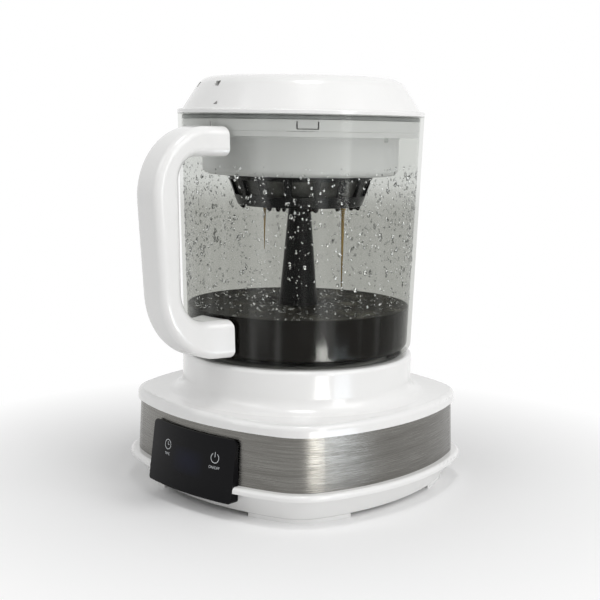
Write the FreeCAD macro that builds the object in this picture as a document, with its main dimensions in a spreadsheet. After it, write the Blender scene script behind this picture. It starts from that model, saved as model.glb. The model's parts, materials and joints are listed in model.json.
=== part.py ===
import FreeCAD, Part
import math
import os
import Sketcher

# A cold brew coffee maker: a powered base, a jug seated in its collar, and a lid, basket and riser tube.
# The origin is on the vertical axis at the surface it stands on. +Z is up. The handle and panel face -Y.

SIZES = {
    # Base outline, a square with bowed sides and round corners
    "lip_half": 92.9,
    "side_bow_radius": 165.5,
    "corner_radius": 35.5,
    "lip_bottom": 53.0,
    "lip_top": 60.0,
    "band_top_half": 91.0,
    "band_bottom_half": 92.3,
    "band_bottom": 20.2,
    "band_sheet": 0.8,
    "rim_half": 97.6,
    "rim_bottom": 16.6,
    "pan_top_half": 91.0,
    "pan_bottom_half": 86.0,
    "pan_bottom": 2.4,
    "foot_half": 85.6,
    "foot_inner_half": 70.0,
    "shell": 2.5,
    # Collar and the seat that the jug stands in
    "collar_radius": 74.4,
    "collar_top": 85.4,
    "seat_bore": 67.0,
    "seat_floor": 75.6,
    "dome_radius": 58.5,
    "dome_top": 85.0,
    "collar_blend": 9.0,
    # Panel on the front face
    "panel_width": 74.0,
    "panel_top": 47.5,
    "panel_bottom": 10.0,
    "panel_top_half": 93.6,
    "panel_bottom_half": 98.6,
    "panel_back_half": 92.5,
    "window_width": 62.0,
    "window_height": 22.0,
    # Jug
    "rim_height": 235.8,
    "rim_radius": 78.0,
    "wall_taper": 0.0306,
    "wall": 2.4,
    "jug_underside": 85.8,
    "jug_floor": 88.6,
    "jug_corner": 7.0,
    "foot_ring_radius": 66.4,
    "foot_ring_wall": 3.0,
    "ledge_height": 220.0,
    # Handle
    "grip_width": 21.6,
    "grip_top": 228.0,
    "grip_reach_top": 130.3,
    "grip_reach_bottom": 119.2,
    "grip_bottom": 100.0,
    "gap_top": 210.4,
    "gap_bottom": 113.8,
    "gap_reach_top": 109.6,
    "gap_reach_bottom": 106.6,
    "root_bottom": 90.6,
    "grip_rounding": 5.0,
    "root_reach": 88.0,
    "root_half": 17.6,
    # Lid and the holder that hangs under it
    "flange_radius": 78.2,
    "flange_top": 238.6,
    "cover_top": 259.0,
    "holder_flange_radius": 74.6,
    "holder_flange_bottom": 222.6,
    "holder_flange_top": 225.6,
    "holder_radius": 62.4,
    "holder_bottom": 198.6,
    "holder_hole": 47.8,
    # Basket and riser tube
    "basket_top": 209.0,
    "basket_neck_radius": 46.9,
    "basket_shoulder": 198.3,
    "basket_bottom": 179.0,
    "basket_bottom_radius": 39.6,
    "basket_wall": 2.0,
    "riser_top_radius": 7.0,
    "riser_bottom_radius": 13.4,
    "riser_bottom": 104.0,
    "riser_bore": 3.4,
    "bell_radius": 19.5,
    # Motor and magnetic drive
    "motor_radius": 17.5,
    "motor_bottom": 34.0,
    "motor_top": 62.0,
    "shaft_radius": 1.5,
    "disc_radius": 27.0,
    "magnet_radius": 5.0,
    "pin_radius": 2.0,
    "running_gap": 0.05,
}


class Size:
    """A length that carries the expression it comes from, so that plain arithmetic stays bound."""

    def __init__(self, value, text):
        self.value = value
        self.text = text

    def __add__(self, other):
        return Size(self.value + number(other), "(%s + %s)" % (self.text, words(other)))

    def __radd__(self, other):
        return self + other

    def __sub__(self, other):
        return Size(self.value - number(other), "(%s - %s)" % (self.text, words(other)))

    def __rsub__(self, other):
        return Size(number(other) - self.value, "(%s - %s)" % (words(other), self.text))

    def __mul__(self, other):
        return Size(self.value * number(other), "(%s * %s)" % (self.text, words(other)))

    def __rmul__(self, other):
        return self * other

    def __truediv__(self, other):
        return Size(self.value / number(other), "(%s / %s)" % (self.text, words(other)))

    def __neg__(self):
        return Size(-self.value, "(0 - %s)" % self.text)


def number(item):
    return item.value if isinstance(item, Size) else float(item)


def words(item):
    return item.text if isinstance(item, Size) else repr(float(item))


class Dimensions:
    """The spreadsheet's cells as named sizes."""

    def __init__(self, document):
        sheet = document.addObject("Spreadsheet::Sheet", "Sizes")
        for row, (alias, value) in enumerate(SIZES.items(), start=1):
            sheet.set("A%d" % row, alias)
            sheet.set("B%d" % row, str(value))
            sheet.setAlias("B%d" % row, alias)
            setattr(self, alias, Size(value, "Sizes." + alias))


document = FreeCAD.newDocument("cold_brew_coffee_maker")
d = Dimensions(document)
document.recompute()
nodes = []


# Small tools for sketches and features


def bind(item, path, size):
    """Sets a property from a size, and binds it where the size comes from the sheet."""
    if isinstance(size, Size):
        item.setExpression(path, size.text)
    else:
        raise ValueError("a bound property needs a sheet size: " + path)


def new_body(label):
    body = document.addObject("PartDesign::Body", label)
    body.Label = label
    nodes.append(body)
    return body


def origin_item(body, role):
    return [item for item in body.Origin.OriginFeatures if item.Role == role][0]


def new_sketch(body, role, lift=None):
    """A sketch on one of the body's own origin planes, lifted along the plane's normal."""
    sketch = body.newObject("Sketcher::SketchObject", body.Label + "_sketch")
    sketch.AttachmentSupport = [(origin_item(body, role), "")]
    sketch.MapMode = "FlatFace"
    if isinstance(lift, Size):
        bind(sketch, ".AttachmentOffset.Base.z", lift)
    elif lift:
        sketch.AttachmentOffset = FreeCAD.Placement(FreeCAD.Vector(0, 0, lift), FreeCAD.Rotation())
    return sketch


def constrain(sketch, kind, *arguments, size=None):
    """Adds a constraint, with its number bound to a size where one is given."""
    if size is None:
        return sketch.addConstraint(Sketcher.Constraint(kind, *arguments))
    index = sketch.addConstraint(Sketcher.Constraint(kind, *arguments, number(size)))
    if isinstance(size, Size):
        sketch.setExpression("Constraints[%d]" % index, size.text)
    return index


def place_point(sketch, geometry, position, x, y):
    """Fixes a point of the sketch at x, y from its origin."""
    for kind, axis, size in (("DistanceX", -2, x), ("DistanceY", -1, y)):
        if number(size) == 0:
            constrain(sketch, "PointOnObject", geometry, position, axis)
        else:
            constrain(sketch, kind, -1, 1, geometry, position, size=size)


def outline(sketch, corners):
    """A closed outline of straight lines. A corner with a third value is rounded to that radius."""
    points = [FreeCAD.Vector(number(corner[0]), number(corner[1]), 0) for corner in corners]
    count = len(points)
    leave = []
    arrive = []
    arcs = []
    for index, corner in enumerate(corners):
        here = points[index]
        before = (points[index - 1] - here).normalize()
        after = (points[(index + 1) % count] - here).normalize()
        if len(corner) == 2:
            arrive.append(here)
            leave.append(here)
            arcs.append(None)
            continue
        radius = number(corner[2])
        half_angle = before.getAngle(after) / 2
        run = radius / math.tan(half_angle)
        middle = (before + after).normalize()
        centre = here + middle * (radius / math.sin(half_angle))
        arrive.append(here + before * run)
        leave.append(here + after * run)
        turn = before.x * after.y - before.y * after.x
        arcs.append((centre, radius, turn < 0))
    lines = []
    for index in range(count):
        segment = Part.LineSegment(leave[index], arrive[(index + 1) % count])
        lines.append(sketch.addGeometry(segment, False))
    for index, corner in enumerate(corners):
        incoming = lines[index - 1]
        outgoing = lines[index]
        if arcs[index] is None:
            constrain(sketch, "Coincident", incoming, 2, outgoing, 1)
            place_point(sketch, outgoing, 1, corner[0], corner[1])
            continue
        centre, radius, left_turn = arcs[index]
        first, last = (arrive[index], leave[index]) if left_turn else (leave[index], arrive[index])
        start = math.atan2(first.y - centre.y, first.x - centre.x)
        end = math.atan2(last.y - centre.y, last.x - centre.x)
        circle = Part.Circle(centre, FreeCAD.Vector(0, 0, 1), radius)
        arc = sketch.addGeometry(Part.ArcOfCircle(circle, start, end), False)
        entry, way_out = (1, 2) if left_turn else (2, 1)
        constrain(sketch, "Tangent", incoming, 2, arc, entry)
        constrain(sketch, "Tangent", arc, way_out, outgoing, 1)
        constrain(sketch, "Radius", arc, size=corner[2])
        corner_point = sketch.addGeometry(Part.Point(points[index]), True)
        constrain(sketch, "PointOnObject", corner_point, 1, incoming)
        constrain(sketch, "PointOnObject", corner_point, 1, outgoing)
        place_point(sketch, corner_point, 1, corner[0], corner[1])
    return sketch


def circle(sketch, radius, x=0, y=0):
    """A full circle, by its radius and centre."""
    centre = FreeCAD.Vector(number(x), number(y), 0)
    index = sketch.addGeometry(Part.Circle(centre, FreeCAD.Vector(0, 0, 1), number(radius)), False)
    constrain(sketch, "Radius", index, size=radius)
    place_point(sketch, index, 3, x, y)
    return sketch


def base_outline(sketch, half):
    """The base's bowed square with round corners, at a given half width. All sizes of it are parallel."""
    bow = half + (d.side_bow_radius - d.lip_half)
    round_corner = half + (d.corner_radius - d.lip_half)
    set_back = bow.value - half.value
    reach = bow.value - round_corner.value
    corner = (math.sqrt(2 * reach ** 2 - set_back ** 2) - set_back) / 2
    spread = math.atan2(corner, corner + set_back)
    up = FreeCAD.Vector(0, 0, 1)
    sides = []
    corners = []
    for quarter in range(4):
        facing = quarter * math.pi / 2
        outward = FreeCAD.Vector(math.cos(facing), math.sin(facing), 0)
        side = Part.Circle(outward * -set_back, up, bow.value)
        sides.append(sketch.addGeometry(Part.ArcOfCircle(side, facing - spread, facing + spread), False))
    for quarter in range(4):
        facing = quarter * math.pi / 2
        diagonal = facing + math.pi / 4
        centre = FreeCAD.Vector(math.cos(diagonal), math.sin(diagonal), 0) * (corner * math.sqrt(2))
        ends = (facing + spread, facing + math.pi / 2 - spread)
        bend = Part.Circle(centre, up, round_corner.value)
        corners.append(sketch.addGeometry(Part.ArcOfCircle(bend, *ends), False))
    for quarter in range(4):
        side = sides[quarter]
        along_x = quarter % 2 == 0
        inward = bow - half if quarter in (2, 3) else half - bow
        constrain(sketch, "PointOnObject", side, 3, -1 if along_x else -2)
        constrain(sketch, "DistanceX" if along_x else "DistanceY", -1, 1, side, 3, size=inward)
        constrain(sketch, "Radius", side, size=bow)
        constrain(sketch, "Radius", corners[quarter], size=round_corner)
        constrain(sketch, "Tangent", side, 2, corners[quarter], 1)
        constrain(sketch, "Tangent", corners[quarter], 2, sides[(quarter + 1) % 4], 1)
    return sketch


def feature(body, kind, name, **settings):
    """A feature of the body, checked to change the solid it is given."""
    before = body.Shape.Volume if body.Tip else 0
    made = body.newObject("PartDesign::" + kind, body.Label + "_" + name)
    for key, value in settings.items():
        if isinstance(value, Size):
            bind(made, key, value)
        else:
            setattr(made, key, value)
    document.recompute()
    if "Invalid" in made.State or "Error" in made.State or made.Shape.isNull():
        raise RuntimeError("%s %s failed: %s" % (body.Label, name, made.State))
    if abs(body.Shape.Volume - before) < 1e-6:
        raise RuntimeError("%s %s changed nothing" % (body.Label, name))
    return made


def pad(body, sketch, length, name="pad", **settings):
    return feature(body, "Pad", name, Profile=sketch, Length=length, **settings)


def cut_up(body, sketch, length, name="cut", **settings):
    """A pocket that runs along the sketch's normal."""
    return feature(body, "Pocket", name, Profile=sketch, Length=length, Reversed=True, **settings)


def revolve(body, corners, name="turned"):
    """A full turn about Z of an outline given as radius and height."""
    sketch = outline(new_sketch(body, "XZ_Plane"), corners)
    return feature(body, "Revolution", name, Profile=sketch, ReferenceAxis=(sketch, ["V_Axis"]))


def groove(body, corners, name="groove"):
    sketch = outline(new_sketch(body, "XZ_Plane"), corners)
    return feature(body, "Groove", name, Profile=sketch, ReferenceAxis=(sketch, ["V_Axis"]))


def loft(body, kind, sections, name="loft"):
    return feature(body, kind, name, Profile=sections[0], Sections=sections[1:], Ruled=True)


def fillet(body, wanted, radius, name="fillet"):
    """Rounds the edges that a test picks by their centre, box and length."""
    tip = body.Tip
    edges = ["Edge%d" % (index + 1) for index, edge in enumerate(tip.Shape.Edges) if wanted(edge)]
    if not edges:
        raise RuntimeError("%s %s found no edge" % (body.Label, name))
    return feature(body, "Fillet", name, Base=(tip, edges), Radius=radius)


def around(body, original, count, name="pattern", angle=360.0):
    """Repeats a feature about Z."""
    pattern = body.newObject("PartDesign::PolarPattern", body.Label + "_" + name)
    pattern.Originals = [original]
    pattern.Axis = (origin_item(body, "Z_Axis"), [""])
    pattern.Angle = angle
    pattern.Occurrences = count
    body.Tip = pattern
    document.recompute()
    if "Invalid" in pattern.State:
        raise RuntimeError(body.Label + " pattern failed")
    return pattern


def box_outline(sketch, width, depth, x=0, y=0):
    """A rectangle by its size and centre."""
    left = x - width / 2
    right = x + width / 2
    near = y - depth / 2
    far = y + depth / 2
    return outline(sketch, [(left, near), (right, near), (right, far), (left, far)])


def group(label, solids):
    """Identical separate solids kept as one node."""
    item = document.addObject("Part::Feature", label)
    item.Shape = Part.makeCompound(solids)
    item.Label = label
    nodes.append(item)
    return item


def ring_of(solid, count, start=0.0, step=None):
    """Copies of a solid turned about Z."""
    step = 360.0 / count if step is None else step
    copies = []
    for index in range(count):
        copy = solid.copy()
        copy.rotate(FreeCAD.Vector(0, 0, 0), FreeCAD.Vector(0, 0, 1), start + index * step)
        copies.append(copy)
    return copies


def at_height(edge, z, radius=None):
    """True for a level circular edge at a height, and of a radius where one is given."""
    box = edge.BoundBox
    if abs(box.ZMin - z) > 0.01 or abs(box.ZMax - z) > 0.01:
        return False
    return radius is None or abs(box.XMax - radius) < 0.02


def corner_places(offset):
    """The four corners of a square about the axis."""
    return [(offset, offset), (-offset, offset), (-offset, -offset), (offset, -offset)]


# The base's fixed pieces

BOSS_OFFSET = 60.0
BOSS_RADIUS = 4.0
BOSS_SPLIT = 30.0
CASE_SCREW_RADIUS = 1.5
POST_RADIUS = 40.0
BRACKET_SCREW_RADIUS = 1.3
JACK_HEIGHT = 34.0


def base_cover():
    """The moulded top: lip and shallow plate, the collar, and the seat with its raised drive dome."""
    body = new_body("base_cover")
    plate = base_outline(new_sketch(body, "XY_Plane", d.lip_bottom), d.lip_half)
    pad(body, plate, d.lip_top - d.lip_bottom, "plate")
    fillet(body, lambda edge: at_height(edge, d.lip_top.value), 3.2, "lip_edge")
    inner = base_outline(new_sketch(body, "XY_Plane", d.lip_bottom), d.lip_half - d.shell - 1.5)
    cut_up(body, inner, d.lip_top - d.lip_bottom - d.shell, "underside")
    under_plate = d.lip_top - d.shell
    revolve(body, [
        (0, under_plate), (d.collar_radius + d.collar_blend, under_plate),
        (d.collar_radius + d.collar_blend, d.lip_top), (d.collar_radius, d.lip_top, d.collar_blend - 0.5),
        (d.collar_radius, d.collar_top, 2.6), (0, d.collar_top)], "collar")
    groove(body, [
        (0, d.dome_top), (d.dome_radius, d.dome_top, 2.0), (d.dome_radius, d.seat_floor),
        (d.seat_bore, d.seat_floor), (d.seat_bore, d.collar_top - 1.0),
        (d.seat_bore + 1.0, d.collar_top + 0.1), (0, d.collar_top + 0.1)], "seat")
    wall_in = d.collar_radius - d.shell
    bore_out = d.seat_bore + d.shell
    groove(body, [
        (0, d.dome_top - d.shell), (d.dome_radius - d.shell, d.dome_top - d.shell),
        (d.dome_radius - d.shell, d.seat_floor - d.shell), (bore_out, d.seat_floor - d.shell),
        (bore_out, d.collar_top - d.shell - 1.5), (wall_in, d.collar_top - d.shell - 1.5),
        (wall_in, d.lip_bottom), (0, d.lip_bottom)], "hollow")
    post = circle(new_sketch(body, "XY_Plane", d.motor_top + 2.0), 3.5, x=POST_RADIUS)
    around(body, pad(body, post, d.dome_top - d.shell - d.motor_top - 1.0, "post"), 3)
    drilled = circle(new_sketch(body, "XY_Plane", d.motor_top + 1.0), BRACKET_SCREW_RADIUS, x=POST_RADIUS)
    around(body, cut_up(body, drilled, 9.0, "post_hole"), 3, "post_holes")
    for x, y in corner_places(BOSS_OFFSET):
        boss = circle(new_sketch(body, "XY_Plane", BOSS_SPLIT), BOSS_RADIUS, x, y)
        pad(body, boss, d.lip_top - d.shell - BOSS_SPLIT + 0.5, "boss")
        hole = circle(new_sketch(body, "XY_Plane", BOSS_SPLIT - 0.5), CASE_SCREW_RADIUS, x, y)
        cut_up(body, hole, 14.0, "screw_hole")
    for x in (-28.0, 28.0):
        rib = new_sketch(body, "XY_Plane", d.band_bottom + 5.0)
        box_outline(rib, d.shell * 2.4, d.shell * 2, x=x, y=-(d.band_top_half - 7.2 - d.shell))
        pad(body, rib, d.lip_top - d.shell - d.band_bottom - 4.5, "board_rib")
    return body


def steel_band():
    """The brushed sheet that wraps the base, with the opening behind the panel."""
    body = new_body("steel_band")
    height = d.lip_bottom - d.band_bottom
    sections = [
        base_outline(new_sketch(body, "XY_Plane", d.band_bottom), d.band_bottom_half),
        base_outline(new_sketch(body, "XY_Plane", d.lip_bottom), d.band_top_half)]
    loft(body, "AdditiveLoft", sections, "outside")
    sections = [
        base_outline(new_sketch(body, "XY_Plane", d.band_bottom - 0.01), d.band_bottom_half - d.band_sheet),
        base_outline(new_sketch(body, "XY_Plane", d.lip_bottom + 0.01), d.band_top_half - d.band_sheet)]
    loft(body, "SubtractiveLoft", sections, "inside")
    middle = d.band_bottom + height / 2 - 1.0
    window = new_sketch(body, "XZ_Plane", d.band_top_half - 12.0)
    box_outline(window, d.window_width, d.window_height, x=0, y=middle)
    cut_up(body, window, d.band_sheet + 24.0, "window")
    jack = new_sketch(body, "XZ_Plane", -(d.band_bottom_half + 4.0))
    circle(jack, 5.6, x=0, y=JACK_HEIGHT)
    cut_up(body, jack, d.band_sheet + 12.0, "jack_hole")
    return body


def base_pan():
    """The lower moulding: rim flange, tapered pan, screw bosses and the corner feet."""
    body = new_body("base_pan")
    sections = [
        base_outline(new_sketch(body, "XY_Plane", d.pan_bottom), d.pan_bottom_half),
        base_outline(new_sketch(body, "XY_Plane", d.rim_bottom), d.pan_top_half)]
    loft(body, "AdditiveLoft", sections, "tub")
    fillet(body, lambda edge: at_height(edge, d.pan_bottom.value), 1.2, "tub_edge")
    rim = base_outline(new_sketch(body, "XY_Plane", d.rim_bottom), d.rim_half)
    pad(body, rim, d.band_bottom - d.rim_bottom, "rim")
    fillet(body, lambda edge: at_height(edge, d.band_bottom.value), 2.2, "rim_edge")
    floor = d.pan_bottom + d.shell
    sections = [
        base_outline(new_sketch(body, "XY_Plane", floor), d.pan_bottom_half - d.shell),
        base_outline(new_sketch(body, "XY_Plane", d.band_bottom + 0.01), d.pan_top_half - d.shell - 0.8)]
    loft(body, "SubtractiveLoft", sections, "hollow")
    for x, y in corner_places(BOSS_OFFSET):
        boss = circle(new_sketch(body, "XY_Plane", floor - 0.5), BOSS_RADIUS, x, y)
        pad(body, boss, BOSS_SPLIT - floor + 0.5, "boss")
        hole = circle(new_sketch(body, "XY_Plane", 0), CASE_SCREW_RADIUS, x, y)
        cut_up(body, hole, BOSS_SPLIT + 1.0, "screw_hole")
        head = circle(new_sketch(body, "XY_Plane", 0), 3.2, x, y)
        cut_up(body, head, floor - 0.2, "screw_head")
    seat = new_sketch(body, "XY_Plane", d.panel_bottom)
    bowed_strip(seat, d.rim_half + 4.0, d.panel_back_half - 0.2, d.panel_width + 0.4)
    cut_up(body, seat, d.panel_top - d.panel_bottom, "panel_seat")
    return body


def foot_pads():
    """Four low corner feet under the pan, cut from one outline."""
    outer = document.addObject("PartDesign::Body", "foot_outline")
    pad(outer, base_outline(new_sketch(outer, "XY_Plane"), d.foot_half), d.pan_bottom)
    cut_up(outer, base_outline(new_sketch(outer, "XY_Plane", -0.01), d.foot_inner_half),
           d.pan_bottom + 0.1)
    feet = []
    for quarter in range(4):
        corner = Part.makeBox(62, 62, d.pan_bottom.value, FreeCAD.Vector(38, 38, 0))
        corner.rotate(FreeCAD.Vector(0, 0, 0), FreeCAD.Vector(0, 0, 1), 90 * quarter)
        feet.append(outer.Shape.common(corner).Solids[0])
    return group("foot_pads", feet)


def bowed_strip(sketch, front, back, width):
    """A strip that follows the front face's bow, by its outer and inner half widths and its width."""
    arcs = []
    for half_width in (front, back):
        radius = half_width + (d.side_bow_radius - d.lip_half)
        centre = FreeCAD.Vector(0, radius.value - half_width.value, 0)
        spread = math.asin(width.value / 2 / radius.value)
        bow = Part.Circle(centre, FreeCAD.Vector(0, 0, 1), radius.value)
        arc = Part.ArcOfCircle(bow, -math.pi / 2 - spread, -math.pi / 2 + spread)
        arcs.append(sketch.addGeometry(arc, False))
        constrain(sketch, "PointOnObject", arcs[-1], 3, -2)
        constrain(sketch, "DistanceY", -1, 1, arcs[-1], 3, size=radius - half_width)
        constrain(sketch, "Radius", arcs[-1], size=radius)
    for end, side in ((1, -width / 2), (2, width / 2)):
        points = [sketch.getPoint(arc, end) for arc in arcs]
        line = sketch.addGeometry(Part.LineSegment(points[0], points[1]), False)
        constrain(sketch, "Coincident", line, 1, arcs[0], end)
        constrain(sketch, "Coincident", line, 2, arcs[1], end)
        constrain(sketch, "Vertical", line)
        constrain(sketch, "DistanceX", -1, 1, line, 1, size=side)
    return sketch


def panel_cover():
    """The glossy curved panel. It lies on the band at its top and reaches past the rim at its foot."""
    body = new_body("panel_cover")
    foot = new_sketch(body, "XY_Plane", d.panel_bottom)
    bowed_strip(foot, d.panel_bottom_half, d.panel_back_half, d.panel_width)
    head = new_sketch(body, "XY_Plane", d.panel_top)
    bowed_strip(head, d.panel_top_half, d.panel_back_half, d.panel_width)
    loft(body, "AdditiveLoft", [foot, head])
    frame = new_sketch(body, "XZ_Plane", d.panel_back_half - 12.0)
    middle = (d.panel_top + d.panel_bottom) / 2
    box_outline(frame, d.panel_width + 10.0, d.panel_top - d.panel_bottom + 10.0, x=0, y=middle)
    right = d.panel_width / 2 - 0.2
    outline(frame, [
        (-right, d.panel_bottom - 0.1, 2.0), (right, d.panel_bottom - 0.1, 2.0),
        (right, d.panel_top + 0.1, 3.6), (-right, d.panel_top + 0.1, 3.6)])
    cut_up(body, frame, 25.0, "round_corners")
    return body


def touch_board():
    """The key board behind the panel's window."""
    body = new_body("touch_board")
    middle = d.band_bottom + (d.lip_bottom - d.band_bottom) / 2 - 1.0
    board = new_sketch(body, "XZ_Plane", d.band_top_half - 7.2)
    box_outline(board, d.window_width + 6.0, d.window_height + 4.0, x=0, y=middle)
    pad(body, board, d.band_sheet * 2)
    return body


def display_module():
    """The digit block on the key board, facing the window."""
    body = new_body("display_module")
    middle = d.band_bottom + (d.lip_bottom - d.band_bottom) / 2 - 1.0
    block = new_sketch(body, "XZ_Plane", d.band_top_half - 7.2 + d.band_sheet * 2)
    box_outline(block, d.window_width * 0.42, d.window_height * 0.6, x=0, y=middle)
    pad(body, block, d.band_sheet * 3.5)
    return body


def main_board():
    """The drive circuit board on the pan floor, on four short stand-offs of its own."""
    body = new_body("main_board")
    floor = d.pan_bottom + d.shell
    board = new_sketch(body, "XY_Plane", floor + 4.0)
    box_outline(board, d.motor_radius * 4, d.motor_radius * 2.4, x=0, y=-12.0)
    pad(body, board, d.band_sheet * 2)
    for x in (-31.0, 31.0):
        for y in (-29.0, 5.0):
            pad(body, circle(new_sketch(body, "XY_Plane", floor), 2.5, x, y), 4.0, "foot")
    parts = ((-22.0, -20.0, 6.0, 9.0), (-6.0, -22.0, 4.0, 7.0), (14.0, -14.0, 5.0, 10.0))
    for x, y, radius, height in parts:
        can = circle(new_sketch(body, "XY_Plane", floor + 5.6), radius, x, y)
        pad(body, can, height, "component")
    return body


def motor():
    """The motor can, with its nose boss and the bore that its shaft runs in."""
    body = new_body("motor")
    revolve(body, [
        (0, d.motor_bottom), (d.motor_radius, d.motor_bottom, 2.0), (d.motor_radius, d.motor_top, 1.0),
        (4.0, d.motor_top), (4.0, d.motor_top + 3.0), (d.shaft_radius + d.running_gap, d.motor_top + 3.0),
        (d.shaft_radius + d.running_gap, d.motor_bottom + 6.0), (0, d.motor_bottom + 6.0)])
    return body


def motor_bracket():
    """The plate that carries the motor under the drive dome's three posts."""
    body = new_body("motor_bracket")
    plate = new_sketch(body, "XY_Plane", d.motor_top)
    circle(plate, d.disc_radius - 5.0)
    circle(plate, 4.2)
    pad(body, plate, d.shaft_radius + 0.5, "plate")
    arm = new_sketch(body, "XY_Plane", d.motor_top)
    outline(arm, [(18.0, -5.0), (46.0, -5.0, 4.5), (46.0, 5.0, 4.5), (18.0, 5.0)])
    around(body, pad(body, arm, d.shaft_radius + 0.5, "arm"), 3)
    hole = circle(new_sketch(body, "XY_Plane", d.motor_top - 1.0), BRACKET_SCREW_RADIUS, x=POST_RADIUS)
    around(body, cut_up(body, hole, 6.0, "hole"), 3, "holes")
    return body


def power_inlet():
    """The low voltage socket in the back of the band."""
    body = new_body("power_inlet")
    bore = new_sketch(body, "XZ_Plane", -(d.band_bottom_half + 1.2))
    circle(bore, 5.4, x=0, y=JACK_HEIGHT)
    circle(bore, 3.2, x=0, y=JACK_HEIGHT)
    pad(body, bore, 14.0, "barrel")
    flange = new_sketch(body, "XZ_Plane", -(d.band_bottom_half + 1.2))
    circle(flange, 7.4, x=0, y=JACK_HEIGHT)
    circle(flange, 3.2, x=0, y=JACK_HEIGHT)
    pad(body, flange, 1.0, "flange")
    back = new_sketch(body, "XZ_Plane", -(d.band_bottom_half - 10.8))
    circle(back, 5.4, x=0, y=JACK_HEIGHT)
    pad(body, back, 2.0, "back")
    centre = new_sketch(body, "XZ_Plane", -(d.band_bottom_half - 3.0))
    circle(centre, 1.0, x=0, y=JACK_HEIGHT)
    pad(body, centre, 8.0, "contact")
    return body


def screw(head_radius, head_height, shank_radius, length):
    """A pan head screw standing on its head, with a cross recess."""
    head = Part.makeCylinder(head_radius, head_height)
    head = head.makeFillet(head_height * 0.45, [head.Edges[2]])
    shank = Part.makeCylinder(shank_radius, length, FreeCAD.Vector(0, 0, head_height))
    arm = head_radius * 1.2
    slot = Part.makeBox(arm, arm / 5, head_height / 2, FreeCAD.Vector(-arm / 2, -arm / 10, 0))
    cross = slot.copy()
    cross.rotate(FreeCAD.Vector(0, 0, 0), FreeCAD.Vector(0, 0, 1), 90)
    return head.fuse(shank).cut(slot.fuse(cross))


def case_screws():
    one = screw(3.0, 2.2, CASE_SCREW_RADIUS, 36.0)
    one.translate(FreeCAD.Vector(BOSS_OFFSET, BOSS_OFFSET, d.pan_bottom.value + 0.1))
    return group("case_screws", ring_of(one, 4))


def bracket_screws():
    one = screw(2.6, 1.8, BRACKET_SCREW_RADIUS, 8.0)
    one.translate(FreeCAD.Vector(POST_RADIUS, 0, d.motor_top.value - 1.8))
    return group("bracket_screws", ring_of(one, 3))


# The magnetic drive, which turns in the base


def drive_shaft():
    body = new_body("drive_shaft")
    section = circle(new_sketch(body, "XY_Plane", d.motor_bottom + 6.4), d.shaft_radius)
    pad(body, section, d.motor_top - d.motor_bottom + 11.0)
    return body


MAGNET_RING = 18.0
DISC_TOP = 80.2
MAGNET_DEPTH = 4.5


def drive_disc():
    """The turned carrier on the shaft, with four blind pockets for the magnets."""
    body = new_body("drive_disc")
    revolve(body, [
        (d.shaft_radius, 70.0), (6.0, 70.0), (8.0, DISC_TOP - 6.2), (d.disc_radius, DISC_TOP - 6.2),
        (d.disc_radius, DISC_TOP, 1.2), (d.shaft_radius, DISC_TOP)])
    hole = circle(new_sketch(body, "XY_Plane", DISC_TOP - MAGNET_DEPTH), d.magnet_radius, x=MAGNET_RING)
    around(body, cut_up(body, hole, MAGNET_DEPTH + 1.0, "pocket"), 4)
    return body


def drive_magnets():
    place = FreeCAD.Vector(MAGNET_RING, 0, DISC_TOP - MAGNET_DEPTH)
    one = Part.makeCylinder(d.magnet_radius.value, MAGNET_DEPTH, place)
    return group("drive_magnets", ring_of(one, 4))


# The jug and what is fixed to it

HANDLE_SCREW_REACH = 77.8
HANDLE_LUGS = ((214.0, 223.0), (100.0, 108.0))


def wall_radius(height):
    """The jug's outer radius at a height."""
    return d.rim_radius - d.wall_taper * (d.rim_height - height)


def jug_body():
    """The clear jug: tapered wall, rounded foot corner, foot ring, holder ledges and handle lugs."""
    body = new_body("jug_body")
    foot_inside = d.foot_ring_radius - d.foot_ring_wall
    base_radius = wall_radius(d.jug_underside)
    revolve(body, [
        (0, d.jug_underside), (foot_inside, d.jug_underside), (foot_inside, d.seat_floor),
        (d.foot_ring_radius, d.seat_floor), (d.foot_ring_radius, d.jug_underside),
        (base_radius, d.jug_underside, d.jug_corner), (d.rim_radius, d.rim_height),
        (d.rim_radius - d.wall, d.rim_height), (base_radius - d.wall, d.jug_floor, d.jug_corner - d.wall),
        (0, d.jug_floor)], "shell")
    ledge = new_sketch(body, "XY_Plane", d.ledge_height)
    box_outline(ledge, d.wall * 1.4, d.wall * 4, x=wall_radius(d.ledge_height) - d.wall * 1.6, y=0)
    around(body, pad(body, ledge, d.holder_flange_bottom - d.ledge_height, "ledge"), 3, "ledges")
    for bottom, top in HANDLE_LUGS:
        lug = new_sketch(body, "XZ_Plane", wall_radius(bottom) - d.wall / 2)
        box_outline(lug, d.grip_width / 2, top - bottom, x=0, y=(top + bottom) / 2)
        pad(body, lug, 9.0, "lug")
    hole = new_sketch(body, "XY_Plane", 99.0)
    circle(hole, BRACKET_SCREW_RADIUS, y=-HANDLE_SCREW_REACH)
    cut_up(body, hole, 7.0, "screw_hole")
    return body


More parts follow.
